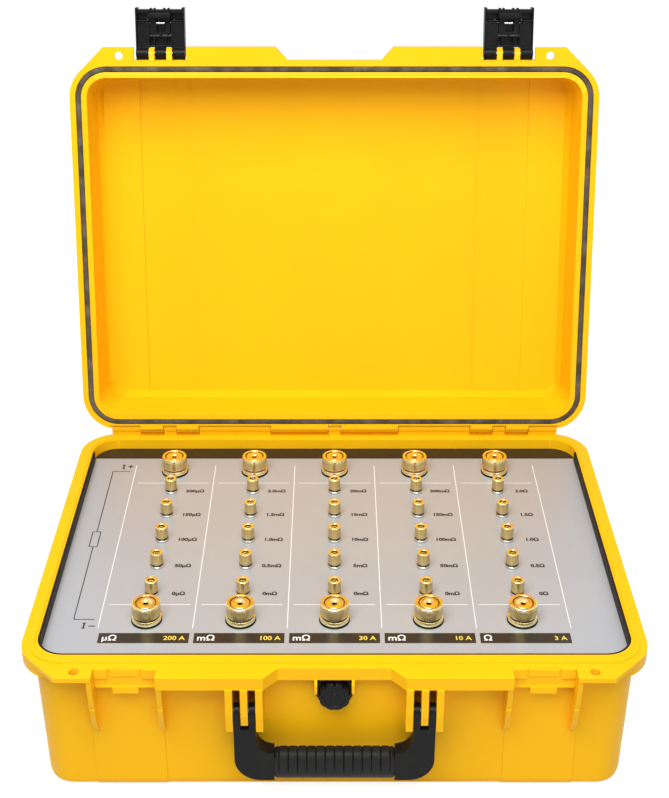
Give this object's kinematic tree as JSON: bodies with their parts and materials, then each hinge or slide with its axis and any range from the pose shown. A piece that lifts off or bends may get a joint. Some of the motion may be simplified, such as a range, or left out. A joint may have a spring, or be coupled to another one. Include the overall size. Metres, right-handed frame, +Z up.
{
  "type": "micro-ohmmeter calibrator",
  "caption": "Hinged carrying case with a flat top panel of gold screw posts tapped along resistor bars, for checking low-resistance meters.",
  "frame": {"origin": "centre of the underside of the case base", "axes": "+Z up, +Y towards the hinge, +X to the right seen from the handle side; lid shown open"},
  "size_m": [0.486, 0.4761, 0.5329],
  "materials": {
    "yellow_case": "satin moulded polypropylene",
    "black_moulding": "satin moulded nylon",
    "grip_rubber": "soft ribbed grip",
    "seal_rubber": "foam rubber cord",
    "steel_pin": "ground steel",
    "panel_metal": "milled",
    "panel_print": "printed satin overlay",
    "gold_plate": "gold plated, turned",
    "red_ring": "moulded",
    "black_ring": "moulded",
    "nickel": "nickel plated",
    "brass_nut": "turned",
    "resistor_alloy": "rolled copper alloy strip"
  },
  "bodies": {
    "case_base": {"base_shell": "yellow_case", "hinge_pins": "steel_pin", "handle_pins": "steel_pin", "valve_body": "black_moulding", "valve_knob": "black_moulding", "panel_frame": "black_moulding", "panel_plate": "panel_metal", "panel_overlay": "panel_print", "panel_screws": "steel_pin", "current_studs": "gold_plate", "current_rings_red": "red_ring", "current_rings_black": "black_ring", "current_bushes": "black_moulding", "current_nuts": "brass_nut", "tap_studs": "gold_plate", "tap_rings": "black_ring", "tap_collars": "nickel", "tap_bushes": "black_moulding", "tap_nuts": "brass_nut", "tap_caps": "gold_plate", "shunt_200a": "resistor_alloy", "shunt_100a": "resistor_alloy", "shunt_30a": "resistor_alloy", "shunt_10a": "resistor_alloy", "shunt_3a": "resistor_alloy"},
    "case_lid": {"lid_shell": "yellow_case", "lid_seal": "seal_rubber", "latch_pivot_pins": "steel_pin"},
    "latch_left": {"latch_lever_left": "black_moulding", "button_pin_left": "steel_pin"},
    "latch_right": {"latch_lever_right": "black_moulding", "button_pin_right": "steel_pin"},
    "button_left": {"latch_button_left": "black_moulding"},
    "button_right": {"latch_button_right": "black_moulding"},
    "handle": {"handle_frame": "black_moulding", "handle_grip": "grip_rubber"},
    "body_current_cap_rear_1": {"current_cap_rear_1": "gold_plate"},
    "body_current_cap_rear_2": {"current_cap_rear_2": "gold_plate"},
    "body_current_cap_rear_3": {"current_cap_rear_3": "gold_plate"},
    "body_current_cap_rear_4": {"current_cap_rear_4": "gold_plate"},
    "body_current_cap_rear_5": {"current_cap_rear_5": "gold_plate"},
    "body_current_cap_front_1": {"current_cap_front_1": "gold_plate"},
    "body_current_cap_front_2": {"current_cap_front_2": "gold_plate"},
    "body_current_cap_front_3": {"current_cap_front_3": "gold_plate"},
    "body_current_cap_front_4": {"current_cap_front_4": "gold_plate"},
    "body_current_cap_front_5": {"current_cap_front_5": "gold_plate"}
  },
  "joints": [
    {"name": "lid_hinge", "type": "hinge", "parent": "case_base", "child": "case_lid", "pos_m": [0, 0.178, 0.1355], "axis": [1, 0, 0], "range_deg": [0, 99.6]},
    {"name": "latch_left_swing", "type": "hinge", "parent": "case_lid", "child": "latch_left", "pos_m": [0, 0.23985, 0.49218], "axis": [1, 0, 0], "range_deg": [0, 90]},
    {"name": "latch_right_swing", "type": "hinge", "parent": "case_lid", "child": "latch_right", "pos_m": [0, 0.23985, 0.49218], "axis": [1, 0, 0], "range_deg": [0, 90]},
    {"name": "button_left_press", "type": "hinge", "parent": "latch_left", "child": "button_left", "pos_m": [0, 0.24904, 0.51801], "axis": [-1, 0, 0], "range_deg": [0, 8], "stiffness_Nm_per_rad": 0.2},
    {"name": "button_right_press", "type": "hinge", "parent": "latch_right", "child": "button_right", "pos_m": [0, 0.24904, 0.51801], "axis": [-1, 0, 0], "range_deg": [0, 8], "stiffness_Nm_per_rad": 0.2},
    {"name": "handle_swing", "type": "hinge", "parent": "case_base", "child": "handle", "pos_m": [0, -0.185, 0.094], "axis": [-1, 0, 0], "range_deg": [0, 95]},
    {"name": "cap_rear_1_lift", "type": "slide", "parent": "case_base", "child": "body_current_cap_rear_1", "axis": [0, 0, 1], "range_m": [0, 0.004]},
    {"name": "cap_rear_2_lift", "type": "slide", "parent": "case_base", "child": "body_current_cap_rear_2", "axis": [0, 0, 1], "range_m": [0, 0.004]},
    {"name": "cap_rear_3_lift", "type": "slide", "parent": "case_base", "child": "body_current_cap_rear_3", "axis": [0, 0, 1], "range_m": [0, 0.004]},
    {"name": "cap_rear_4_lift", "type": "slide", "parent": "case_base", "child": "body_current_cap_rear_4", "axis": [0, 0, 1], "range_m": [0, 0.004]},
    {"name": "cap_rear_5_lift", "type": "slide", "parent": "case_base", "child": "body_current_cap_rear_5", "axis": [0, 0, 1], "range_m": [0, 0.004]},
    {"name": "cap_front_1_lift", "type": "slide", "parent": "case_base", "child": "body_current_cap_front_1", "axis": [0, 0, 1], "range_m": [0, 0.004]},
    {"name": "cap_front_2_lift", "type": "slide", "parent": "case_base", "child": "body_current_cap_front_2", "axis": [0, 0, 1], "range_m": [0, 0.004]},
    {"name": "cap_front_3_lift", "type": "slide", "parent": "case_base", "child": "body_current_cap_front_3", "axis": [0, 0, 1], "range_m": [0, 0.004]},
    {"name": "cap_front_4_lift", "type": "slide", "parent": "case_base", "child": "body_current_cap_front_4", "axis": [0, 0, 1], "range_m": [0, 0.004]},
    {"name": "cap_front_5_lift", "type": "slide", "parent": "case_base", "child": "body_current_cap_front_5", "axis": [0, 0, 1], "range_m": [0, 0.004]}
  ]
}
